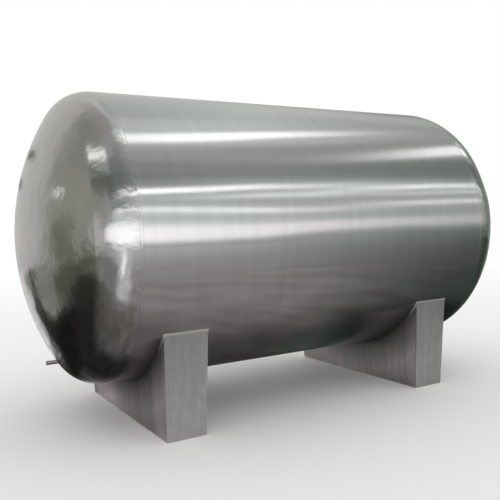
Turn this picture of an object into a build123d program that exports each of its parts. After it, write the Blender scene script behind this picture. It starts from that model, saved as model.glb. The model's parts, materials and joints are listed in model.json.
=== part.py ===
# High-pressure tank: a horizontal stainless vessel with dished heads on two box saddles.
# Sizes are in millimetres. X runs along the tank, Z is up, and the front of the tank faces -Y.
# The origin is on the floor, under the middle of the tank.
import os
from math import asin, cos, radians, sin, sqrt

from build123d import *

os.makedirs("parts", exist_ok=True)

# Shell
tank_diameter = 1400
shell_length = 1975
wall_thickness = 8
floor_clearance = 197

# Dished heads, with the crown and knuckle radii as shares of the tank diameter
crown_radius_share = 0.848
knuckle_radius_share = 0.1275
straight_flange = 15

# Butt welds between the shell and the heads, ground down to a low cap
seam_root_gap = 3
seam_cap_width = 12
seam_cap_height = 0.8

# Saddles: closed boxes that widen a little towards the top, set in from the seams
left_saddle_inset = 232.5
right_saddle_inset = 256.5
saddle_wrap_angle = 107.5
saddle_base_length = 1058
saddle_base_width = 191
saddle_top_width = 211
saddle_plate = 8
saddle_base_plate = 12

# Fillet welds between the saddles and the shell
fillet_leg = 9
fillet_root_share = 0.3

# Drain pipe low on the left head, with its drop below the axis as a share of the tank radius
drain_diameter = 19
drain_wall = 1.5
drain_drop_share = 0.831
drain_reach = 56
drain_root = 26
drain_weld_leg = 5

# Sizes that follow for the tank
tank_radius = tank_diameter / 2
inner_radius = tank_radius - wall_thickness
axis_height = floor_clearance + tank_radius
half_shell = shell_length / 2
tank_axis = Axis((0, 0, axis_height), (1, 0, 0))
tank_plane = Plane(origin=(0, 0, axis_height), x_dir=(1, 0, 0), z_dir=(0, -1, 0))
along_tank = Location((0, 0, axis_height), (0, 90, 0))
cutter_length = 2 * shell_length

# Sizes that follow for the heads: the crown and the knuckle share a tangent where they meet
crown_radius = crown_radius_share * tank_diameter
knuckle_radius = knuckle_radius_share * tank_diameter
knuckle_ring_radius = tank_radius - knuckle_radius
meeting_angle = asin(knuckle_ring_radius / (crown_radius - knuckle_radius))
tangent_x = half_shell + straight_flange
crown_centre_x = tangent_x - (crown_radius - knuckle_radius) * cos(meeting_angle)
knuckle_middle_angle = (radians(90) + meeting_angle) / 2
crown_middle_angle = meeting_angle / 2

# Sizes that follow for the saddles
wrap_half_angle = radians(saddle_wrap_angle / 2)
saddle_top_half_length = tank_radius * sin(wrap_half_angle)
saddle_top_height = axis_height - tank_radius * cos(wrap_half_angle)
saddle_base_half_length = saddle_base_length / 2
length_slope = (saddle_top_half_length - saddle_base_half_length) / saddle_top_height
width_slope = (saddle_top_width - saddle_base_width) / 2 / saddle_top_height
base_plate_half_length = saddle_base_half_length + length_slope * saddle_base_plate
base_plate_half_width = saddle_base_width / 2 + width_slope * saddle_base_plate
axis_half_width = saddle_base_width / 2 + width_slope * axis_height
fillet_root = fillet_root_share * fillet_leg

# Sizes that follow for the drain pipe, which leaves the crown level
drain_drop = drain_drop_share * tank_radius
drain_height = axis_height - drain_drop
drain_angle = asin(drain_drop / crown_radius)
drain_surface_x = crown_centre_x + crown_radius * cos(drain_angle)
drain_length = drain_reach + drain_root
drain_middle_x = drain_surface_x + drain_reach - drain_length / 2
drain_place = Location((-drain_middle_x, 0, drain_height), (0, 90, 0))
drain_oval_radius = drain_diameter / 2 / cos(drain_angle)
drain_weld_root = fillet_root_share * drain_weld_leg

# Shell, with both edges bevelled for the seam welds
with BuildPart() as shell:
    with BuildSketch(tank_plane):
        with BuildLine():
            Polyline(
                (-half_shell + seam_root_gap / 2, inner_radius),
                (half_shell - seam_root_gap / 2, inner_radius),
                (half_shell - seam_cap_width / 2, tank_radius),
                (-half_shell + seam_cap_width / 2, tank_radius),
                close=True,
            )
        make_face()
    revolve(axis=tank_axis)
shell.part.label = "tank_shell"
export_step(shell.part, "parts/tank_shell.step")

# Heads: a short straight flange, a knuckle and a shallow crown, one wall thickness throughout
for side, sign in (("left", -1), ("right", 1)):
    inner_knuckle = knuckle_radius - wall_thickness
    inner_crown = crown_radius - wall_thickness
    outer_meeting = (
        sign * (tangent_x + knuckle_radius * cos(meeting_angle)),
        knuckle_ring_radius + knuckle_radius * sin(meeting_angle),
    )
    outer_knuckle_middle = (
        sign * (tangent_x + knuckle_radius * cos(knuckle_middle_angle)),
        knuckle_ring_radius + knuckle_radius * sin(knuckle_middle_angle),
    )
    outer_crown_middle = (
        sign * (crown_centre_x + crown_radius * cos(crown_middle_angle)),
        crown_radius * sin(crown_middle_angle),
    )
    outer_top = (sign * (crown_centre_x + crown_radius), 0)
    inner_meeting = (
        sign * (tangent_x + inner_knuckle * cos(meeting_angle)),
        knuckle_ring_radius + inner_knuckle * sin(meeting_angle),
    )
    inner_knuckle_middle = (
        sign * (tangent_x + inner_knuckle * cos(knuckle_middle_angle)),
        knuckle_ring_radius + inner_knuckle * sin(knuckle_middle_angle),
    )
    inner_crown_middle = (
        sign * (crown_centre_x + inner_crown * cos(crown_middle_angle)),
        inner_crown * sin(crown_middle_angle),
    )
    inner_top = (sign * (crown_centre_x + inner_crown), 0)
    outer_edge = (sign * (half_shell + seam_cap_width / 2), tank_radius)
    inner_edge = (sign * (half_shell + seam_root_gap / 2), inner_radius)
    outer_tangent = (sign * tangent_x, tank_radius)
    inner_tangent = (sign * tangent_x, inner_radius)
    with BuildPart() as head:
        with BuildSketch(tank_plane):
            with BuildLine():
                Line(inner_edge, outer_edge)
                Line(outer_edge, outer_tangent)
                ThreePointArc(outer_tangent, outer_knuckle_middle, outer_meeting)
                ThreePointArc(outer_meeting, outer_crown_middle, outer_top)
                Line(outer_top, inner_top)
                ThreePointArc(inner_top, inner_crown_middle, inner_meeting)
                ThreePointArc(inner_meeting, inner_knuckle_middle, inner_tangent)
                Line(inner_tangent, inner_edge)
            make_face()
        revolve(axis=tank_axis)
        if side == "left":
            with Locations(drain_place):
                Cylinder(drain_diameter / 2, drain_length, mode=Mode.SUBTRACT)
    head.part.label = f"{side}_head"
    export_step(head.part, f"parts/{side}_head.step")

    # Seam weld that fills the bevels between this head and the shell
    with BuildPart() as seam:
        with BuildSketch(tank_plane):
            with BuildLine():
                Polyline(
                    (sign * half_shell - seam_cap_width / 2, tank_radius),
                    (sign * half_shell - seam_root_gap / 2, inner_radius),
                    (sign * half_shell + seam_root_gap / 2, inner_radius),
                    (sign * half_shell + seam_cap_width / 2, tank_radius),
                )
                ThreePointArc(
                    (sign * half_shell + seam_cap_width / 2, tank_radius),
                    (sign * half_shell, tank_radius + seam_cap_height),
                    (sign * half_shell - seam_cap_width / 2, tank_radius),
                )
            make_face()
        revolve(axis=tank_axis)
    seam.part.label = f"{side}_seam_weld"
    export_step(seam.part, f"parts/{side}_seam_weld.step")

# Saddles, each of two webs across the tank, two end plates, and a base plate let in between them
for side, sign, inset in (("left", -1, left_saddle_inset), ("right", 1, right_saddle_inset)):
    saddle_x = sign * (half_shell - inset)
    with BuildPart() as base:
        with BuildSketch(Plane.XY):
            with Locations((saddle_x, 0)):
                Rectangle(
                    saddle_base_width - 2 * saddle_plate,
                    saddle_base_length - 2 * saddle_plate,
                )
        with BuildSketch(Plane.XY.offset(saddle_base_plate)):
            with Locations((saddle_x, 0)):
                Rectangle(
                    2 * (base_plate_half_width - saddle_plate),
                    2 * (base_plate_half_length - saddle_plate),
                )
        loft()
    base.part.label = f"{side}_saddle_base"
    export_step(base.part, f"parts/{side}_saddle_base.step")

    for web_name, web_sign in (("outer", sign), ("inner", -sign)):
        foot_x = saddle_x + web_sign * (saddle_base_width - saddle_plate) / 2
        horn_x = saddle_x + web_sign * (saddle_top_width - saddle_plate) / 2
        # Web, coped to the shell
        with BuildPart() as web:
            with BuildSketch(Plane.XY):
                with Locations((foot_x, 0)):
                    Rectangle(saddle_plate, 2 * (saddle_base_half_length - saddle_plate))
            with BuildSketch(Plane.XY.offset(saddle_top_height)):
                with Locations((horn_x, 0)):
                    Rectangle(saddle_plate, 2 * (saddle_top_half_length - saddle_plate))
            loft()
            with Locations(along_tank):
                Cylinder(tank_radius, cutter_length, mode=Mode.SUBTRACT)
        web.part.label = f"{side}_saddle_{web_name}_web"
        export_step(web.part, f"parts/{side}_saddle_{web_name}_web.step")

        # Fillet weld along the cope, square to the leaning web and trimmed to the shell
        web_normal = Vector(web_sign, 0, -width_slope).normalized()
        web_centre = Vector(saddle_x + web_sign * axis_half_width, 0, axis_height)
        with BuildPart() as web_weld:
            with BuildSketch(Plane(origin=web_centre, x_dir=web_normal, z_dir=(0, web_sign, 0))):
                with BuildLine():
                    Polyline(
                        (0, tank_radius - fillet_root),
                        (0, tank_radius + fillet_leg),
                        (fillet_leg + fillet_root, tank_radius - fillet_root),
                        close=True,
                    )
                make_face()
            revolve(axis=Axis(web_centre, web_normal))
            with Locations(along_tank):
                Cylinder(tank_radius, cutter_length, mode=Mode.SUBTRACT)
            split(bisect_by=Plane.XY.offset(saddle_top_height), keep=Keep.BOTTOM)
        web_weld.part.label = f"{side}_saddle_{web_name}_weld"
        export_step(web_weld.part, f"parts/{side}_saddle_{web_name}_weld.step")

    for end_name, end_sign in (("front", -1), ("back", 1)):
        # End plate, closing the box and covering the edges of both webs
        with BuildPart() as end_plate:
            with BuildSketch(Plane.XY):
                with Locations((saddle_x, end_sign * (saddle_base_half_length - saddle_plate / 2))):
                    Rectangle(saddle_base_width, saddle_plate)
            with BuildSketch(Plane.XY.offset(saddle_top_height)):
                with Locations((saddle_x, end_sign * (saddle_top_half_length - saddle_plate / 2))):
                    Rectangle(saddle_top_width, saddle_plate)
            loft()
            with Locations(along_tank):
                Cylinder(tank_radius, cutter_length, mode=Mode.SUBTRACT)
        end_plate.part.label = f"{side}_saddle_{end_name}_plate"
        export_step(end_plate.part, f"parts/{side}_saddle_{end_name}_plate.step")

        # Fillet weld along the top of the end plate
        face_length = sqrt(1 + length_slope**2)
        weld_foot_drop = fillet_leg / face_length
        weld_foot_y = saddle_top_half_length - length_slope * weld_foot_drop
        weld_foot_z = saddle_top_height - weld_foot_drop
        weld_foot_half_width = saddle_top_width / 2 - width_slope * weld_foot_drop
        weld_turn = fillet_leg / tank_radius
        weld_middle_angle = wrap_half_angle + weld_turn / 2
        weld_end_angle = wrap_half_angle + weld_turn
        weld_foot = (end_sign * weld_foot_y, weld_foot_z)
        weld_root = (end_sign * saddle_top_half_length, saddle_top_height)
        weld_middle = (
            end_sign * tank_radius * sin(weld_middle_angle),
            axis_height - tank_radius * cos(weld_middle_angle),
        )
        weld_toe = (
            end_sign * tank_radius * sin(weld_end_angle),
            axis_height - tank_radius * cos(weld_end_angle),
        )
        with BuildPart() as end_weld:
            with BuildSketch(Plane.YZ.offset(saddle_x)):
                with BuildLine():
                    Line(weld_foot, weld_root)
                    ThreePointArc(weld_root, weld_middle, weld_toe)
                    Line(weld_toe, weld_foot)
                make_face()
            extrude(amount=weld_foot_half_width, both=True)
        end_weld.part.label = f"{side}_saddle_{end_name}_weld"
        export_step(end_weld.part, f"parts/{side}_saddle_{end_name}_weld.step")

# Drain pipe through the wall of the left head
with BuildPart() as drain:
    with Locations(drain_place):
        Cylinder(drain_diameter / 2, drain_length)
        Cylinder(drain_diameter / 2 - drain_wall, drain_length, mode=Mode.SUBTRACT)
drain.part.label = "drain_pipe"
export_step(drain.part, "parts/drain_pipe.step")

# Weld around the drain pipe: a cone square to the crown, trimmed to the pipe and the crown
drain_normal = Vector(-cos(drain_angle), 0, -sin(drain_angle))
drain_foot = Vector(-drain_surface_x, 0, drain_height) - drain_normal * drain_weld_root
with BuildPart() as drain_weld:
    with Locations(Plane(origin=drain_foot, x_dir=(0, 1, 0), z_dir=drain_normal)):
        Cone(
            drain_oval_radius + drain_weld_leg,
            drain_oval_radius + drain_weld_root,
            drain_weld_leg,
            align=(Align.CENTER, Align.CENTER, Align.MIN),
        )
    with Locations(drain_place):
        Cylinder(drain_diameter / 2, drain_length, mode=Mode.SUBTRACT)
    with Locations((-crown_centre_x, 0, axis_height)):
        Sphere(crown_radius, mode=Mode.SUBTRACT)
drain_weld.part.label = "drain_weld"
export_step(drain_weld.part, "parts/drain_weld.step")
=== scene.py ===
import json
from math import acos, asin, cos, degrees, pi, radians, sin, sqrt

import bmesh
import bpy
import numpy as np
from mathutils import Matrix, Vector


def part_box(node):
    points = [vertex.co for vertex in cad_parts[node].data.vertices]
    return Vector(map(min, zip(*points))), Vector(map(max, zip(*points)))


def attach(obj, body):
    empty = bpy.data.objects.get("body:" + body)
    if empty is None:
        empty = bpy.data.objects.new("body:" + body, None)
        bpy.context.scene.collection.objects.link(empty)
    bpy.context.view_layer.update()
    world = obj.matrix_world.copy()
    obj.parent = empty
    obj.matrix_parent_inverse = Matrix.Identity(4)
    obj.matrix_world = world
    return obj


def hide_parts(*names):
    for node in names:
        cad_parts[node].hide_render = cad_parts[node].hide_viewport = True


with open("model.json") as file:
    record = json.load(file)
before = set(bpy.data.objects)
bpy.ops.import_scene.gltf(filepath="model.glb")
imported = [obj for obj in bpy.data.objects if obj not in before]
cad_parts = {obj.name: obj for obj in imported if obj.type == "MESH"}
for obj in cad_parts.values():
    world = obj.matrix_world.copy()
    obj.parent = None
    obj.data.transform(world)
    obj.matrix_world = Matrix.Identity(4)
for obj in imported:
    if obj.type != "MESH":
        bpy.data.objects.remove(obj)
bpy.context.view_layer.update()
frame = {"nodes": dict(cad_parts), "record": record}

# Sizes read from the frame, in metres
shell_low, shell_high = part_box("tank_shell")
tank_radius = (shell_high.y - shell_low.y) / 2
axis_height = (shell_high.z + shell_low.z) / 2
saddle_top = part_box("left_saddle_front_plate")[1].z
wrap_half_angle = acos((axis_height - saddle_top) / tank_radius)
drain_low, drain_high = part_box("drain_pipe")
drain_radius = (drain_high.z - drain_low.z) / 2
drain_height = (drain_high.z + drain_low.z) / 2
head_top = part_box("left_head")[0].x

# Sizes that the frame's boxes don't give
saddle_plate = 0.008
fillet_leg = 0.009
shell_leg_share = 0.6
drain_weld_leg = 0.005
crown_radius = 1.1872
crown_centre = -head_top - crown_radius
pole_radius = 0.12

# Camera of the photograph
camera_place = Vector((-1.8962, -3.0746, 0.9555))
camera_yaw = radians(30.46)
camera_pitch = radians(-2.60)
camera_roll = radians(-1.97)
focal_pixels = 634.65
frame_pixels = 500
sensor_width = 36

# Stainless steel, as linear colours
shell_colour = (0.56, 0.56, 0.55)
head_colour = (0.56, 0.555, 0.54)
seam_colour = (0.56, 0.555, 0.545)
saddle_colour = (0.77, 0.765, 0.745)
web_colour = (0.97, 0.9, 0.92)
weld_colour = (0.69, 0.68, 0.66)
drain_colour = (0.52, 0.52, 0.51)
black = (0, 0, 0)

# Finishes: shares of a colour, roughness, and depths and heights in metres
shell_tone_shares = (0.97, 1.03)
shell_rough = 0.175
seam_rough = 0.2
shell_rough_spread = 0.02
shell_anisotropy = 0.9
shell_wave_depth = 0.006
shell_grain_depth = 0.00002
head_tone_shares = (0.94, 1.04)
head_rough = (0.11, 0.18)
head_dent_depth = 0.0042
head_peel_depth = 0.0005
sheet_rough_spread = 0.04
sheet_streak_rough = 0.03
weld_stain_shares = (0.85, 1.0)
weld_rough = (0.6, 0.76)
weld_grit_depth = 0.00003
# Painted shade on the welds: their colour falls to this share between these drops below the saddles' tops,
# under the tank
weld_shade_share = 0.3
weld_shade_drop = 0.09
weld_lit_drop = 0.01
weld_shade_heights = (saddle_top - weld_shade_drop, saddle_top - weld_lit_drop)
drain_tone_shares = (0.85, 1.0)
drain_rough = (0.3, 0.45)

# Noises on the shell: layer, scale per metre along and around it, detail and roughness
shell_grain = (0.0, 300.0, 2.0, 4.0, 0.6)
shell_bands = (3.0, 22.0, 0.6, 3.0, 0.5)
shell_smears = (7.0, 2.5, 2.5, 4.0, 0.6)
shell_waves = (1.3, 0.9, 2.6, 1.0, 0.5)

# Grain of the saddles' sheets: scale per metre along, across and up
sheet_fine_scales = (260.0, 260.0, 1.6)
sheet_broad_scales = (32.0, 32.0, 0.9)

# Values between which most of a noise lies
noise_low = 0.3
noise_high = 0.7

# Numbers of a Mix node's sockets: its two inputs and its output
mix_colour_sockets = (6, 7, 2)
mix_vector_sockets = (4, 5, 1)


def aim_camera():
    """Places the camera where the photograph was taken from."""
    forward = Vector((
        sin(camera_yaw) * cos(camera_pitch),
        cos(camera_yaw) * cos(camera_pitch),
        sin(camera_pitch),
    ))
    level = Vector((cos(camera_yaw), -sin(camera_yaw), 0))
    upright = level.cross(forward)
    right = cos(camera_roll) * level + sin(camera_roll) * upright
    up = cos(camera_roll) * upright - sin(camera_roll) * level
    turn = Matrix((right, up, -forward)).transposed()
    data = bpy.data.cameras.new("photo_camera")
    data.sensor_width = sensor_width
    data.lens = sensor_width * focal_pixels / frame_pixels
    camera = bpy.data.objects.new("photo_camera", data)
    camera.matrix_world = Matrix.Translation(camera_place) @ turn.to_4x4()
    bpy.context.scene.collection.objects.link(camera)
    bpy.context.scene.camera = camera


class Nodes:
    """A material's node tree, with short calls to add and join nodes."""

    def __init__(self, name):
        self.material = bpy.data.materials.new(name)
        self.material.use_nodes = True
        self.tree = self.material.node_tree
        self.shader = self.tree.nodes["Principled BSDF"]

    def add(self, kind, **settings):
        node = self.tree.nodes.new(kind)
        for name, value in settings.items():
            setattr(node, name, value)
        return node

    def feed(self, socket, value):
        if isinstance(value, bpy.types.NodeSocket):
            self.tree.links.new(value, socket)
        else:
            socket.default_value = value

    def math(self, operation, first, second=0.0):
        node = self.add("ShaderNodeMath", operation=operation)
        self.feed(node.inputs[0], first)
        self.feed(node.inputs[1], second)
        return node.outputs[0]

    def where(self):
        """The point in the part's own frame, in metres."""
        return self.add("ShaderNodeTexCoord").outputs["Object"]

    def place(self):
        """The point's x, y and z."""
        parts = self.add("ShaderNodeSeparateXYZ")
        self.feed(parts.inputs[0], self.where())
        return parts.outputs[0], parts.outputs[1], parts.outputs[2]

    def vector(self, x, y, z):
        node = self.add("ShaderNodeCombineXYZ")
        for socket, value in zip(node.inputs, (x, y, z)):
            self.feed(socket, value)
        return node.outputs[0]

    def stretched(self, x, y, z, x_scale, y_scale, z_scale):
        """A point scaled along each axis, for noise that runs along a grain."""
        pairs = ((x, x_scale), (y, y_scale), (z, z_scale))
        return self.vector(*(self.math("MULTIPLY", part, scale) for part, scale in pairs))

    def noise(self, where, scale=1.0, detail=2.0, rough=0.5):
        node = self.add("ShaderNodeTexNoise")
        self.feed(node.inputs["Vector"], where)
        self.feed(node.inputs["Scale"], scale)
        self.feed(node.inputs["Detail"], detail)
        self.feed(node.inputs["Roughness"], rough)
        return node.outputs["Fac"]

    def shell_noise(self, x, around, layer, along_scale, around_scale, detail, rough):
        """A noise on the shell, with its own scale along and around it."""
        where = self.stretched(x, around, layer, along_scale, around_scale, 1.0)
        return self.noise(where, detail=detail, rough=rough)

    def spread(self, value, low, high, start=noise_low, end=noise_high):
        """Maps a value between start and end to the range from low to high."""
        node = self.add("ShaderNodeMapRange")
        self.feed(node.inputs["Value"], value)
        for name, number in zip(("From Min", "From Max", "To Min", "To Max"), (start, end, low, high)):
            self.feed(node.inputs[name], number)
        return node.outputs[0]

    def mix(self, kind, sockets, amount, low, high):
        """A blend of two values by an amount."""
        low_socket, high_socket, result = sockets
        node = self.add("ShaderNodeMix", data_type=kind)
        self.feed(node.inputs[0], amount)
        self.feed(node.inputs[low_socket], low)
        self.feed(node.inputs[high_socket], high)
        return node.outputs[result]

    def tint(self, amount, low_colour, high_colour):
        """A colour between two colours."""
        return self.mix("RGBA", mix_colour_sockets, amount, (*low_colour, 1), (*high_colour, 1))

    def bump(self, height, distance, under=None):
        node = self.add("ShaderNodeBump")
        self.feed(node.inputs["Height"], height)
        self.feed(node.inputs["Distance"], distance)
        if under is not None:
            self.feed(node.inputs["Normal"], under)
        return node.outputs[0]

    def from_axis(self, run_x=0.0):
        """The way to the point from the tank's axis, with a run along the axis where one is given."""
        _, y, z = self.place()
        return self.vector(run_x, y, self.math("SUBTRACT", z, axis_height))

    def vector_math(self, operation, first, output):
        node = self.add("ShaderNodeVectorMath", operation=operation)
        self.feed(node.inputs[0], first)
        return node.outputs[output]

    def below_shell(self):
        """The distance from the shell, outside it."""
        return self.math("SUBTRACT", self.vector_math("LENGTH", self.from_axis(), "Value"), tank_radius)

    def shell_normal(self):
        """The normal of the round shell itself, smoother than that of its facets."""
        return self.vector_math("NORMALIZE", self.from_axis(), "Vector")

    def head_normal(self):
        """The surface's normal, near the pole of a head that of the crown's sphere itself."""
        x = self.place()[0]
        run_x = self.math("SUBTRACT", x, self.math("MULTIPLY", self.math("SIGN", x), crown_centre))
        away = self.vector_math("LENGTH", self.from_axis(), "Value")
        near_pole = self.math("LESS_THAN", away, pole_radius)
        mesh_normal = self.add("ShaderNodeNewGeometry").outputs["Normal"]
        crown_normal = self.vector_math("NORMALIZE", self.from_axis(run_x), "Vector")
        return self.mix("VECTOR", mix_vector_sockets, near_pole, mesh_normal, crown_normal)

    def level_tangent(self):
        """The level direction in the surface, across an upright grain."""
        node = self.add("ShaderNodeVectorMath", operation="CROSS_PRODUCT")
        self.feed(node.inputs[0], (0, 0, 1))
        self.feed(node.inputs[1], self.add("ShaderNodeNewGeometry").outputs["Normal"])
        return node.outputs[0]


def shades(colour, shares):
    """The colour times each share."""
    return [tuple(share * part for part in colour) for share in shares]


def shell_material(name, colour, rough, rounded):
    """Satin stainless, brushed around the shell, with the slow waves of a rolled plate."""
    nodes = Nodes(name)
    x, y, z = nodes.place()
    turn = nodes.math("ARCTAN2", y, nodes.math("SUBTRACT", z, axis_height))
    around = nodes.math("MULTIPLY", nodes.math("SUBTRACT", pi / 2, turn), tank_radius)
    grain = nodes.shell_noise(x, around, *shell_grain)
    bands = nodes.shell_noise(x, around, *shell_bands)
    smears = nodes.shell_noise(x, around, *shell_smears)
    waves = nodes.shell_noise(x, around, *shell_waves)
    shader = nodes.shader.inputs
    tint = nodes.tint(nodes.spread(bands, 0.0, 1.0), *shades(colour, shell_tone_shares))
    nodes.feed(shader["Base Color"], tint)
    worn = nodes.spread(smears, rough - shell_rough_spread, rough + shell_rough_spread)
    brushed = nodes.spread(grain, -shell_rough_spread, shell_rough_spread)
    nodes.feed(shader["Roughness"], nodes.math("ADD", worn, brushed))
    shader["Metallic"].default_value = 1.0
    shader["Anisotropic"].default_value = shell_anisotropy
    nodes.feed(shader["Tangent"], nodes.vector(1.0, 0.0, 0.0))
    under = nodes.shell_normal() if rounded else None
    wavy = nodes.bump(waves, shell_wave_depth, under)
    nodes.feed(shader["Normal"], nodes.bump(grain, shell_grain_depth, wavy))
    return nodes.material


def head_material():
    """Stainless polished nearly to a mirror, with orange peel and shallow pressing marks."""
    nodes = Nodes("polished_head")
    where = nodes.where()
    peel = nodes.noise(where, scale=48.0, detail=3.0)
    dents = nodes.noise(where, scale=7.0)
    smears = nodes.noise(where, scale=4.0, detail=5.0, rough=0.65)
    shader = nodes.shader.inputs
    tint = nodes.tint(nodes.spread(smears, 0.0, 1.0), *shades(head_colour, head_tone_shares))
    nodes.feed(shader["Base Color"], tint)
    nodes.feed(shader["Roughness"], nodes.spread(smears, *head_rough))
    shader["Metallic"].default_value = 1.0
    pressed = nodes.bump(dents, head_dent_depth, nodes.head_normal())
    nodes.feed(shader["Normal"], nodes.bump(peel, head_peel_depth, pressed))
    return nodes.material


def sheet_material(name, colour, rough, anisotropy, wave, streak, cope_shade, cope_reach):
    """Stainless sheet brushed up and down, for the saddles, with painted shade darkening it towards the
    shell.
    """
    nodes = Nodes(name)
    place = nodes.place()
    fine = nodes.noise(nodes.stretched(*place, *sheet_fine_scales), detail=3.0, rough=0.6)
    broad = nodes.noise(nodes.stretched(*place, *sheet_broad_scales), detail=3.0)
    smears = nodes.noise(nodes.where(), scale=5.0, detail=4.0, rough=0.6)
    dents = nodes.noise(nodes.where(), scale=2.5, detail=1.0)
    shader = nodes.shader.inputs
    mixed = nodes.math("MULTIPLY", nodes.math("ADD", fine, broad), 0.5)
    tone = nodes.math("ADD", nodes.math("MULTIPLY", nodes.spread(mixed, -1.0, 1.0), streak), 1.0)
    # Painted shade: the colour falls to cope_shade at the shell and rises back to full over cope_reach,
    # standing in for the shade under the tank
    cope_painted_shade = nodes.spread(nodes.below_shell(), cope_shade, 1.0, 0.0, cope_reach)
    nodes.feed(shader["Base Color"], nodes.tint(nodes.math("MULTIPLY", tone, cope_painted_shade), black, colour))
    worn = nodes.spread(smears, rough - sheet_rough_spread, rough + sheet_rough_spread)
    brushed = nodes.spread(broad, -sheet_streak_rough, sheet_streak_rough)
    nodes.feed(shader["Roughness"], nodes.math("ADD", worn, brushed))
    shader["Metallic"].default_value = 1.0
    shader["Anisotropic"].default_value = anisotropy
    nodes.feed(shader["Tangent"], nodes.level_tangent())
    nodes.feed(shader["Normal"], nodes.bump(dents, wave))
    return nodes.material


def weld_material():
    """Weld metal, full colour at the tops of the saddles, with painted shade darkening it lower down under
    the tank.
    """
    nodes = Nodes("fillet_weld")
    height = nodes.place()[2]
    stain = nodes.noise(nodes.where(), scale=35.0, detail=4.0, rough=0.6)
    grit = nodes.noise(nodes.where(), scale=500.0)
    shader = nodes.shader.inputs
    # Painted shade: the colour darkens below the saddles' tops, where the welds lie under the tank
    weld_painted_shade = nodes.spread(height, weld_shade_share, 1.0, *weld_shade_heights)
    stain_and_shade = nodes.math("MULTIPLY", nodes.spread(stain, *weld_stain_shares), weld_painted_shade)
    nodes.feed(shader["Base Color"], nodes.tint(stain_and_shade, black, weld_colour))
    nodes.feed(shader["Roughness"], nodes.spread(stain, *weld_rough))
    shader["Metallic"].default_value = 1.0
    nodes.feed(shader["Normal"], nodes.bump(grit, weld_grit_depth))
    return nodes.material


def drain_material():
    """Dull drawn tube."""
    nodes = Nodes("drain_tube")
    stain = nodes.noise(nodes.where(), scale=60.0, detail=4.0, rough=0.6)
    shader = nodes.shader.inputs
    tint = nodes.tint(nodes.spread(stain, 0.0, 1.0), *shades(drain_colour, drain_tone_shares))
    nodes.feed(shader["Base Color"], tint)
    nodes.feed(shader["Roughness"], nodes.spread(stain, *drain_rough))
    shader["Metallic"].default_value = 1.0
    return nodes.material


def slot_materials():
    """The material of each slot."""
    return {
        "brushed_shell": shell_material("brushed_shell", shell_colour, shell_rough, rounded=True),
        "polished_head": head_material(),
        "ground_weld": shell_material("ground_weld", seam_colour, seam_rough, rounded=False),
        "saddle_web": sheet_material(
            "saddle_web", web_colour, rough=0.58, anisotropy=0.45, wave=0.006, streak=0.24,
            cope_shade=0.18, cope_reach=0.18,
        ),
        "saddle_end": sheet_material(
            "saddle_end", saddle_colour, rough=0.75, anisotropy=0.3, wave=0.002, streak=0.17,
            cope_shade=0.54, cope_reach=0.34,
        ),
        "fillet_weld": weld_material(),
        "drain_tube": drain_material(),
    }


def dress_frame(looks):
    """Gives each node of the frame the material of its slot."""
    for part in frame["record"]["subparts"]:
        node = frame["nodes"][part["node"]]
        node.data.materials.clear()
        node.data.materials.append(looks[part["material_slot"]])


# Weld beads and seams: lengths in metres, shares and counts
bead_step = 0.0012
drain_bead_step = bead_step / 2
ripple_pitch = 0.0048
ripple_depth = 0.0003
bead_bulge_share = 0.03
crescent_share = 0.4
bead_bury = 0.0012
merge_distance = 0.000001
face_points = 8
corner_run = 0.025
corner_steps = 6
seam_width = 0.016
seam_crown = 0.0005
seam_bury = 0.00006
seam_depth = 0.002
seam_steps = 540


def sweep(node, name, verts, ring, closed, look):
    """A closed mesh through rings of points, the last point of each buried, in place of a node."""
    count = len(verts) // ring
    shown, hidden = [], []
    for i in range(count if closed else count - 1):
        here, there = i * ring, (i + 1) % count * ring
        for j in range(ring):
            k = (j + 1) % ring
            strip = shown if j < ring - 2 else hidden
            strip.append((here + j, here + k, there + k, there + j))
    if not closed:
        hidden.append(tuple(range(ring)))
        hidden.append(tuple((count - 1) * ring + j for j in range(ring)))
    mesh = bpy.data.meshes.new(name)
    work = bmesh.new()
    points = [work.verts.new(vert) for vert in verts]
    for faces, smooth in ((shown, True), (hidden, False)):
        for face in faces:
            work.faces.new([points[corner] for corner in face]).smooth = smooth
    bmesh.ops.remove_doubles(work, verts=work.verts, dist=merge_distance)
    bmesh.ops.recalc_face_normals(work, faces=work.faces)
    work.to_mesh(mesh)
    work.free()
    mesh.materials.append(look)
    piece = bpy.data.objects.new(name, mesh)
    bpy.context.scene.collection.objects.link(piece)
    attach(piece, "root")
    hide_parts(node)


def bead(node, roots, first_legs, second_legs, leg, closed, looks):
    """A rippled fillet bead along the roots, with a leg on each of the two plates that it joins."""
    verts = []
    travel = 0.0
    for i, root in enumerate(roots):
        if i:
            travel += (root - roots[i - 1]).length
        first, second = first_legs[i], second_legs[i]
        outward = (first + second).normalized()
        for j in range(face_points + 1):
            t = j / face_points
            crescent = sin(pi * t)
            ripple = cos(2 * pi * (travel / ripple_pitch - crescent_share * crescent))
            swell = crescent * (leg * bead_bulge_share + ripple_depth * ripple)
            verts.append(root + leg * ((1 - t) * first + t * second) + swell * outward)
        verts.append(root - bead_bury * (first + second))
    sweep(node, f"{node}_bead", verts, face_points + 2, closed, looks["fillet_weld"])


def seam_rings(looks):
    """The two girth seams, ground nearly flush with the shell."""
    for side in ("left", "right"):
        node = f"{side}_seam_weld"
        low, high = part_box(node)
        profile = []
        middle = (low.x + high.x) / 2
        for j in range(face_points + 1):
            share = j / face_points
            crown = seam_crown * sin(pi * share) ** 2 - seam_bury
            profile.append((middle + seam_width * (share - 0.5), tank_radius + crown))
        profile.append((middle, tank_radius - seam_depth))
        verts = []
        for i in range(seam_steps):
            turn = 2 * pi * i / seam_steps
            verts += [(x, radius * cos(turn), axis_height + radius * sin(turn)) for x, radius in profile]
        sweep(node, f"{node}_ring", verts, len(profile), True, looks["ground_weld"])


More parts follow.
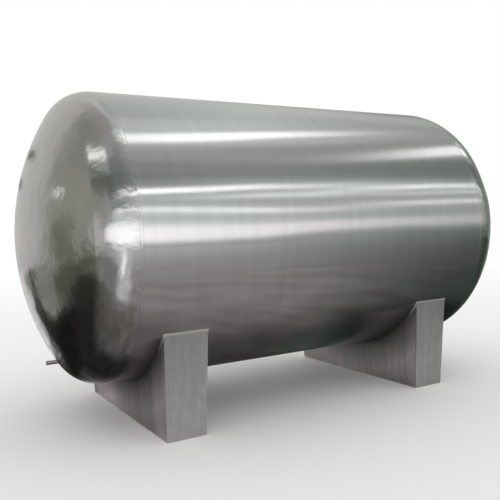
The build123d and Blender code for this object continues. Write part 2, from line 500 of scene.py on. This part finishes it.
def saddle_end_legs(side, sign):
    """Legs up the shell and down an end plate, from its top edge, as shares of the fillet's leg."""
    low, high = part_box(f"{side}_saddle_base")
    top_y = sign * tank_radius * sin(wrap_half_angle)
    foot_y = (high.y if sign > 0 else low.y) + sign * saddle_plate
    up_shell = shell_leg_share * Vector((0, sign * cos(wrap_half_angle), sin(wrap_half_angle)))
    down_plate = Vector((0, foot_y - top_y, -saddle_top)).normalized()
    return up_shell, down_plate


def web_beads(looks):
    """Beads along the copes of the four webs, turned around the corners to meet those of the end plates."""
    count = int(2 * wrap_half_angle * tank_radius / bead_step)
    turns = [wrap_half_angle * (2 * i / count - 1) for i in range(count + 1)]
    for side, side_sign in (("left", -1), ("right", 1)):
        ends = {end: saddle_end_legs(side, end) for end in (-1, 1)}
        for web, sign in (("outer", side_sign), ("inner", -side_sign)):
            low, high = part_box(f"{side}_saddle_{web}_web")
            horn_x, foot_x = (high.x, low.x + saddle_plate) if sign > 0 else (low.x, high.x - saddle_plate)
            along_shell = Vector((sign * shell_leg_share, 0, 0))
            roots, first_legs, second_legs = [], [], []
            for turn in turns:
                out = Vector((0, sin(turn), -cos(turn)))
                root = Vector((0, 0, axis_height)) + tank_radius * out
                root.x = foot_x + (horn_x - foot_x) * root.z / saddle_top
                down_plate = ends[1 if turn > 0 else -1][1]
                share = min(1, tank_radius * (wrap_half_angle - abs(turn)) / corner_run)
                roots.append(root)
                first_legs.append(along_shell)
                second_legs.append((share * out + (1 - share) * down_plate).normalized())
            for end in (-1, 1):
                up_shell, down_plate = ends[end]
                place = 0 if end < 0 else len(roots)
                bends = [pi / 2 * (i + 1) / corner_steps for i in range(corner_steps)]
                fan = [cos(bend) * along_shell + sin(bend) * up_shell for bend in bends]
                corner = roots[0 if end < 0 else -1]
                roots[place:place] = [corner] * corner_steps
                first_legs[place:place] = fan[::-1] if end < 0 else fan
                second_legs[place:place] = [down_plate] * corner_steps
            bead(f"{side}_saddle_{web}_weld", roots, first_legs, second_legs, fillet_leg, False, looks)


def end_beads(looks):
    """Beads along the tops of the four end plates."""
    for side in ("left", "right"):
        for end, sign in (("front", -1), ("back", 1)):
            low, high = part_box(f"{side}_saddle_{end}_plate")
            count = int((high.x - low.x) / bead_step)
            y = sign * tank_radius * sin(wrap_half_angle)
            places = [low.x + (high.x - low.x) * i / count for i in range(count + 1)]
            roots = [Vector((x, y, saddle_top)) for x in places]
            up_shell, down_plate = saddle_end_legs(side, sign)
            first_legs = [up_shell] * len(roots)
            second_legs = [down_plate] * len(roots)
            bead(f"{side}_saddle_{end}_weld", roots, first_legs, second_legs, fillet_leg, False, looks)


def drain_bead(looks):
    """Bead around the drain pipe, where it leaves the crown of the left head."""
    ball_centre = Vector((-crown_centre, 0, axis_height))
    count = int(2 * pi * drain_radius / drain_bead_step)
    roots, on_crown, on_pipe = [], [], []
    for i in range(count):
        turn = 2 * pi * i / count
        spoke = Vector((0, cos(turn), sin(turn)))
        root = Vector((0, 0, drain_height)) + drain_radius * spoke
        across = root - ball_centre
        across.x = 0
        root.x = ball_centre.x - sqrt(crown_radius**2 - across.length_squared)
        normal = (root - ball_centre).normalized()
        roots.append(root)
        on_crown.append((spoke - spoke.dot(normal) * normal).normalized())
        on_pipe.append(Vector((-1, 0, 0)))
    bead("drain_weld", roots, on_crown, on_pipe, drain_weld_leg, True, looks)


# Studio: a white room and floor, with a tent and a mat that show only in reflections
floor_colour = (0.9, 0.9, 0.9, 1)
floor_reach = 40
floor_fade = (3.0, 9.0)
tent_radius = 8.0
tent_floor = 0.004
tent_base = 0.45
tent_top = 89.9
least_reach = 1e-6
strip_radius = 6.0
strip_fade = 1.0
tent_side_step = 0.5
tent_height_step = 0.5
mat_step = 0.08
mottle_scale = 5.0
mottle_reach = 0.35
wall_tint = (0.945, 1, 0.965)
mat_tint = (1.06, 0.96, 1)
mat_tint_reach = (-3.0, -0.8)

# Cards on the tent: middle and half reach around the tank in degrees (0 in front, 90 to the right),
# lowest and highest angle above the axis, softness of the edges, and glow
wall_cards = (
    ("ceiling", 0, 200, 62, 95, 22, (0.43, 0.425, 0.42)),
    ("back_ceiling", 130, 70, 30, 95, 26, (0.74, 0.74, 0.72)),
    ("back_left", -168, 42, -10, 56, 26, (0.63, 0.63, 0.61)),
    ("left_wall", -98, 32, 12, 66, 30, (0.33, 0.335, 0.31)),
    ("left_low", -102, 26, -10, 22, 22, (0.38, 0.38, 0.345)),
    ("left_glow", -84, 12, -4, 7, 8, (0.68, 0.66, 0.66)),
    ("olive", -114, 9, -14, 6, 10, (0.21, 0.21, 0.165)),
    ("left_foot", -108, 15, -14, -3, 7, (0.2, 0.2, 0.16)),
    ("right_wall", 100, 32, -8, 28, 14, (0.27, 0.3, 0.28)),
    ("right_low", 62, 20, -12, -2, 6, (0.12, 0.18, 0.14)),
)

# Strips along the tank: place along it, angle above the front horizon, half width and glow at each point
long_strips = (
    ("over_lamp", wall_tint, (
        (0.5, 110, 14, 0.56), (3, 112, 14, 0.8), (4.8, 112, 14, 0.6), (6.8, 102, 12, 0.4), (9, 102, 10, 0.38),
    )),
    ("upper_wall", wall_tint, (
        (-4, 50, 10, 0.27), (-1, 50, 10, 0.27), (1.6, 49, 10, 0.4), (3.2, 49, 10, 0.4), (5.8, 50, 10, 0.3),
    )),
    ("upper_right", (0.87, 1, 0.96), ((5, 49, 9, 0.34), (6.8, 54, 13, 0.27), (12, 54, 12, 0.22))),
    ("under_lamp", wall_tint, (
        (-1, 63, 6, 0.35), (1.6, 63, 6, 0.55), (3.2, 65, 7, 0.5), (4.8, 72, 9, 0.46), (6.8, 92, 8, 0.48),
        (9, 96, 8, 0.45),
    )),
    ("lamp_halo", wall_tint, (
        (0.2, 80, 10, 0.58), (1.6, 84, 14, 0.88), (3, 90, 13, 0.9), (4.8, 93, 9, 0.6),
    )),
    ("top_lamp", (1, 1, 0.99), (
        (-0.8, 76, 3.5, 0.45), (1.2, 78, 4.6, 1.7), (2.3, 82, 4.4, 2.2), (3, 86, 4, 2.2), (3.8, 90, 3.2, 1.8),
        (5, 93.5, 2.6, 0.8),
    )),
    ("right_lamp", (0.97, 1, 1), (
        (4.2, 60, 3, 0.45), (5.4, 66, 3.8, 0.85), (6.8, 74.4, 5.4, 2.0), (7.4, 76.5, 5.8, 2.3),
        (9, 81, 6, 1.3),
    )),
    ("dark_rail", (0.88, 1, 0.92), ((-6, 41, 5, 0.2), (-1.7, 41, 4.5, 0.22), (1, 42, 4, 0.3))),
    ("window_halo", wall_tint, (
        (1.4, 39, 3.5, 0.42), (3.3, 39.5, 4, 0.66), (4.2, 39.5, 3.5, 0.54), (7.4, 38.5, 3.5, 0.46),
    )),
    ("mid_wall", wall_tint, (
        (-6, 25.5, 5, 0.38), (-1.7, 25.5, 5, 0.4), (1.6, 25.5, 5, 0.7), (3.6, 24.5, 5, 0.62),
        (4.5, 24.5, 5, 0.52), (5.5, 26, 5, 0.58), (12, 26, 5, 0.42),
    )),
    ("window_top", (1, 1, 1), (
        (-6, 34, 1.5, 0.4), (-3.7, 33.2, 1.6, 0.7), (0, 32.2, 1.7, 2.2), (1.6, 32.6, 1.8, 2.6),
        (3.3, 36.8, 1.8, 1.8), (4, 36.6, 1.8, 1.1), (5.5, 34.7, 1.8, 2.1), (6.2, 36, 1.8, 1.9),
        (12, 36, 1.8, 0.8),
    )),
    ("window_bar", wall_tint, (
        (1.6, 26.5, 1.3, 0.72), (3.2, 29.3, 1.8, 1.5), (4.3, 30.6, 2.8, 1.2), (5.5, 28.6, 1.5, 0.85),
        (6.7, 30.2, 1.5, 1.2), (12, 31, 1.5, 0.8),
    )),
    ("low_wall", wall_tint, (
        (-14, 13, 4.5, 0.42), (-9.5, 14, 5, 0.7), (-3.7, 13, 4.5, 0.82), (1.4, 13, 4.5, 0.84),
        (3.6, 12.5, 4.5, 0.75), (5, 12.5, 4.5, 0.56), (12, 12.5, 4.5, 0.4),
    )),
    ("window_sill", (1, 1, 1), (
        (-6, 19.5, 1.6, 0.8), (-3.7, 19.1, 1.7, 1.5), (1.4, 19.4, 1.7, 1.75), (2.8, 17.3, 1.7, 2.0),
        (3.6, 16.6, 1.6, 1.35), (5, 17, 1.5, 0.6),
    )),
    ("right_sill", wall_tint, ((4.8, 21.5, 1.6, 0.55), (5.5, 21.3, 1.8, 1.65), (12, 21.2, 1.8, 0.7))),
    ("doorway", (1, 0.99, 1), (
        (-20, 2, 5, 0.6), (-10, 4, 6.5, 1.6), (-3.7, 2, 8, 1.85), (0, 3, 6.8, 1.85), (3.2, 3, 4.8, 1.36),
        (5.5, 5, 3.6, 0.85), (8, 4.4, 4, 0.62), (14, 4, 5, 0.42),
    )),
    ("back_window", (1, 1, 0.99), ((0.5, 173, 2.6, 1.3), (4, 173, 2.6, 1.5), (12, 173, 2.6, 0.9))),
)

# Lamps, posts and shelves on the tent: angle around and above at both ends, half width in degrees and glow
tent_marks = (
    ("left_shade", (-90, 24), (-48, 34), 5.0, (0.165, 0.18, 0.155)),
    ("left_lamp", (-97, 34), (-62, 50), 4.4, (1.45, 1.48, 1.42)),
    ("far_lamp", (-122, 13.5), (-120, 14.5), 0.9, (1.8, 1.8, 1.75)),
    ("left_shelf", (-171, 13), (-157, 17), 0.9, (0.2, 0.2, 0.19)),
    ("left_bench", (-179, 7), (-164, 9), 0.8, (0.24, 0.24, 0.23)),
    ("right_window", (102, 10), (124, 11), 4.0, (1.3, 1.32, 1.3)),
    ("dark_post", (-101, -10), (-101, 0), 0.8, (0.1, 0.1, 0.095)),
    ("pale_post", (-105, -10), (-105, 10), 1.5, (0.42, 0.42, 0.37)),
    ("grey_post", (-124, -10), (-125, 9), 1.6, (0.42, 0.42, 0.38)),
    ("olive_post", (-112, -10), (-112, 4), 1.0, (0.26, 0.26, 0.19)),
)

# Glow of the mat under the tent, across the tank from far in front of it to far behind it,
# and the dark side that it turns to on the right, by the angle around the tank
# The glows are lowest right under the tank: painted shade of the tank on the floor, seen in reflections
mat_places = (-8.0, -4.3, -2.2, -1.0, -0.7, -0.4, 0.0, 0.6, 1.4, 3.0, 8.0)
mat_glows = (0.76, 0.55, 0.39, 0.3, 0.21, 0.08, 0.04, 0.06, 0.3, 0.6, 0.7)
mat_right = (8, 68)
mat_back = (85, 130)
mat_right_colour = (0.05, 0.071, 0.057)

# Cards on the mat: middle and half size along and across the tank, softness and glow
mat_cards = (
    ("right_floor", 5.5, 2.5, 1.8, 2.3, 1.0, (0.2, 0.215, 0.205)),
    ("left_grey", -5.2, 4.0, 2.2, 3.4, 1.2, (0.33, 0.33, 0.3)),
    ("left_far", -7.0, 1.8, 1.0, 2.2, 1.4, (0.19, 0.19, 0.155)),
    ("left_olive", -4.8, 2.0, 1.3, 1.1, 0.9, (0.12, 0.12, 0.09)),
    ("front_left", -3.3, 2.1, -1.9, 0.8, 0.8, (0.25, 0.25, 0.245)),
    ("front_left_near", -2.0, 1.2, -0.7, 0.4, 0.5, (0.15, 0.142, 0.136)),
    ("left_dark", -2.9, 1.6, 0.2, 0.7, 0.9, (0.03, 0.03, 0.026)),
    ("behind_left", -1.45, 0.75, 4.4, 3.4, 0.6, (0.73, 0.73, 0.73)),
    # under_left, under_right and behind_web are painted shade under and behind the tank
    ("under_left", -0.96, 0.38, -0.22, 0.2, 0.18, (0.022, 0.021, 0.02)),
    ("under_right", 0.98, 0.55, -0.33, 0.28, 0.3, (0.016, 0.016, 0.018)),
    ("behind_web", -1.0, 0.24, 0.75, 0.4, 0.24, (0.06, 0.052, 0.055)),
    ("by_left_web", -0.95, 0.06, 0.34, 0.1, 0.1, (0.5, 0.45, 0.46)),
)

# Paths on the mat: ends, half width at each end and glow
mat_paths = (
    ("pale_wedge", (-2.3, 1.3), (-3.9, 2.5), 0.15, 0.45, (0.3, 0.29, 0.265)),
    ("black_path_near", (-1.7, 0.85), (-2.1, 2.1), 0.32, 0.28, (0.025, 0.025, 0.025)),
    ("black_path_far", (-2.1, 2.1), (-3.55, 4.9), 0.28, 0.36, (0.05, 0.05, 0.05)),
    ("black_patch", (-1.35, 0.35), (-2.1, 0.55), 0.3, 0.36, (0.012, 0.012, 0.012)),
    ("dark_patch", (-1.3, -0.12), (-2.0, 0.08), 0.22, 0.28, (0.022, 0.021, 0.02)),
    ("door_glow", (-1.4, -1.5), (-2.8, -6.0), 0.32, 1.7, (0.72, 0.71, 0.72)),
    ("door_light", (-1.75, -2.1), (-2.7, -5.2), 0.1, 0.45, (1.5, 1.48, 1.5)),
)


def rise(value, low, high):
    """Goes smoothly from 0 at low to 1 at high."""
    share = np.clip((value - low) / (high - low), 0, 1)
    return share * share * (3 - 2 * share)


def within(distance, half, edge):
    """1 up to the half width, falling to 0 across a soft edge."""
    return 1 - rise(np.abs(distance), half - edge / 2, half + edge / 2)


def lay(glow, share, colour):
    """Lays a card's colour over the glow, by its share at each point."""
    glow += share[:, None] * (np.asarray(colour) - glow)


def path_share(points, start, end, start_half, end_half):
    """1 along the line between two ends, falling to 0 across the half width there."""
    start, end = np.array(start, float), np.array(end, float)
    run = end - start
    share = np.clip((points - start) @ run / (run @ run), 0, 1)
    away = np.linalg.norm(points - start - share[:, None] * run, axis=1)
    half = start_half + (end_half - start_half) * share
    return within(away, half, half)


def tent_glow(points):
    """Glow of the tent at points given from its centre."""
    x, y, z = points.T
    side = np.degrees(np.arctan2(x, -y))
    height = np.degrees(np.arcsin(np.clip(z / tent_radius, -1, 1)))
    along = strip_radius * x / np.maximum(np.hypot(y, z), least_reach)
    turn = np.degrees(np.arctan2(z, -y))
    glow = np.full((len(points), 3), tent_base)
    for _, middle, reach, low, high, edge, colour in wall_cards:
        around = (side - middle + 180) % 360 - 180
        share = within(around, reach, edge) * within(height - (low + high) / 2, (high - low) / 2, edge)
        lay(glow, share, colour)
    for _, colour, marks in long_strips:
        places, turns, halves, levels = np.array(marks, float).T
        half = np.interp(along, places, halves)
        share = within(turn - np.interp(along, places, turns), half, half)
        first, last = places[0], places[-1]
        share *= rise(along, first - strip_fade, first) * (1 - rise(along, last, last + strip_fade))
        lay(glow, share, np.interp(along, places, levels)[:, None] * np.array(colour))
    for _, start, end, half, colour in tent_marks:
        lay(glow, path_share(np.column_stack((side, height)), start, end, half, half), colour)
    return glow


def mat_glow(points):
    """Glow of the mat on the floor under the tent."""
    x, y = points[:, 0], points[:, 1]
    level = np.interp(y, mat_places, mat_glows)
    glow = np.column_stack((level, level, level))
    bearing = np.degrees(np.arctan2(x, -y))
    lay(glow, rise(bearing, *mat_right) * (1 - rise(bearing, *mat_back)), mat_right_colour)
    lay(glow, rise(y, *mat_tint_reach), glow * np.array(mat_tint))
    for _, x_middle, x_half, y_middle, y_half, edge, colour in mat_cards:
        lay(glow, within(x - x_middle, x_half, edge) * within(y - y_middle, y_half, edge), colour)
    for _, start, end, start_half, end_half, colour in mat_paths:
        lay(glow, path_share(points[:, :2], start, end, start_half, end_half), colour)
    return glow


def glow_sheet(name, points, faces, glow, mottle):
    """A sheet that shines with its own colours, mottled by a share, and shows only in reflections."""
    mesh = bpy.data.meshes.new(name)
    mesh.from_pydata(points.tolist(), [], faces)
    colours = mesh.color_attributes.new("glow", "FLOAT_COLOR", "POINT")
    colours.data.foreach_set("color", np.column_stack((glow, np.ones(len(glow)))).ravel())
    nodes = Nodes(name)
    nodes.material.cycles.emission_sampling = "NONE"
    shine = nodes.add("ShaderNodeEmission")
    source = nodes.add("ShaderNodeVertexColor", layer_name="glow")
    flecks = nodes.noise(nodes.where(), scale=mottle_scale, detail=3.0, rough=0.6)
    nodes.feed(shine.inputs["Color"], source.outputs["Color"])
    nodes.feed(shine.inputs["Strength"], nodes.spread(flecks, 1 - mottle, 1 + mottle))
    nodes.feed(nodes.tree.nodes["Material Output"].inputs["Surface"], shine.outputs[0])
    nodes.tree.nodes.remove(nodes.shader)
    mesh.materials.append(nodes.material)
    sheet = bpy.data.objects.new(name, mesh)
    bpy.context.scene.collection.objects.link(sheet)
    sheet.visible_camera = False
    sheet.visible_diffuse = False
    sheet.visible_shadow = False
    sheet.visible_transmission = False


def grid_faces(rows, columns, wraps):
    """Faces between the points of a grid, where wraps is set also from the last column to the first."""
    faces = []
    for i in range(rows - 1):
        for j in range(columns if wraps else columns - 1):
            k = (j + 1) % columns
            faces.append((i * columns + j, i * columns + k, (i + 1) * columns + k, (i + 1) * columns + j))
    return faces


def studio_tent():
    """The dome around the tank, with its middle on the tank's axis."""
    lowest = degrees(asin((tent_floor - axis_height) / tent_radius))
    heights = np.radians(np.linspace(lowest, tent_top, int((tent_top - lowest) / tent_height_step)))
    sides = np.radians(np.arange(-180, 180, tent_side_step))
    height, side = (part.ravel() for part in np.meshgrid(heights, sides, indexing="ij"))
    rays = np.column_stack((np.cos(height) * np.sin(side), -np.cos(height) * np.cos(side), np.sin(height)))
    points = tent_radius * rays
    faces = grid_faces(len(heights), len(sides), True)
    glow_sheet("tent", points + (0, 0, axis_height), faces, tent_glow(points), mottle=0.0)


def studio_mat():
    """The mat on the floor under the dome."""
    marks = np.arange(-tent_radius, tent_radius + mat_step / 2, mat_step)
    y, x = (part.ravel() for part in np.meshgrid(marks, marks, indexing="ij"))
    points = np.column_stack((x, y, np.full(len(x), tent_floor)))
    faces = grid_faces(len(marks), len(marks), False)
    glow_sheet("mat", points, faces, mat_glow(points), mottle=mottle_reach)


def studio_room():
    """White surroundings, and a pale floor that fades into them far from the tank."""
    world = bpy.data.worlds.new("studio")
    world.use_nodes = True
    back = world.node_tree.nodes["Background"]
    back.inputs["Color"].default_value = (1, 1, 1, 1)
    back.inputs["Strength"].default_value = 1.0
    bpy.context.scene.world = world
    mesh = bpy.data.meshes.new("floor")
    corners = [(x * floor_reach, y * floor_reach, 0) for x, y in ((-1, -1), (1, -1), (1, 1), (-1, 1))]
    mesh.from_pydata(corners, [], [(0, 1, 2, 3)])
    floor = bpy.data.objects.new("floor", mesh)
    bpy.context.scene.collection.objects.link(floor)
    nodes = Nodes("floor")
    nodes.shader.inputs["Base Color"].default_value = floor_colour
    nodes.shader.inputs["Roughness"].default_value = 1.0
    nodes.shader.inputs["Specular IOR Level"].default_value = 0.0
    away = nodes.add("ShaderNodeVectorMath", operation="LENGTH")
    nodes.feed(away.inputs[0], nodes.where())
    white = nodes.add("ShaderNodeEmission")
    mix = nodes.add("ShaderNodeMixShader")
    nodes.feed(mix.inputs[0], nodes.spread(away.outputs["Value"], 0.0, 1.0, *floor_fade))
    nodes.feed(mix.inputs[1], nodes.shader.outputs[0])
    nodes.feed(mix.inputs[2], white.outputs[0])
    nodes.feed(nodes.tree.nodes["Material Output"].inputs["Surface"], mix.outputs[0])
    mesh.materials.append(nodes.material)


aim_camera()
looks = slot_materials()
dress_frame(looks)
web_beads(looks)
end_beads(looks)
drain_bead(looks)
seam_rings(looks)
studio_room()
studio_tent()
studio_mat()
bpy.context.scene.view_settings.view_transform = "Standard"
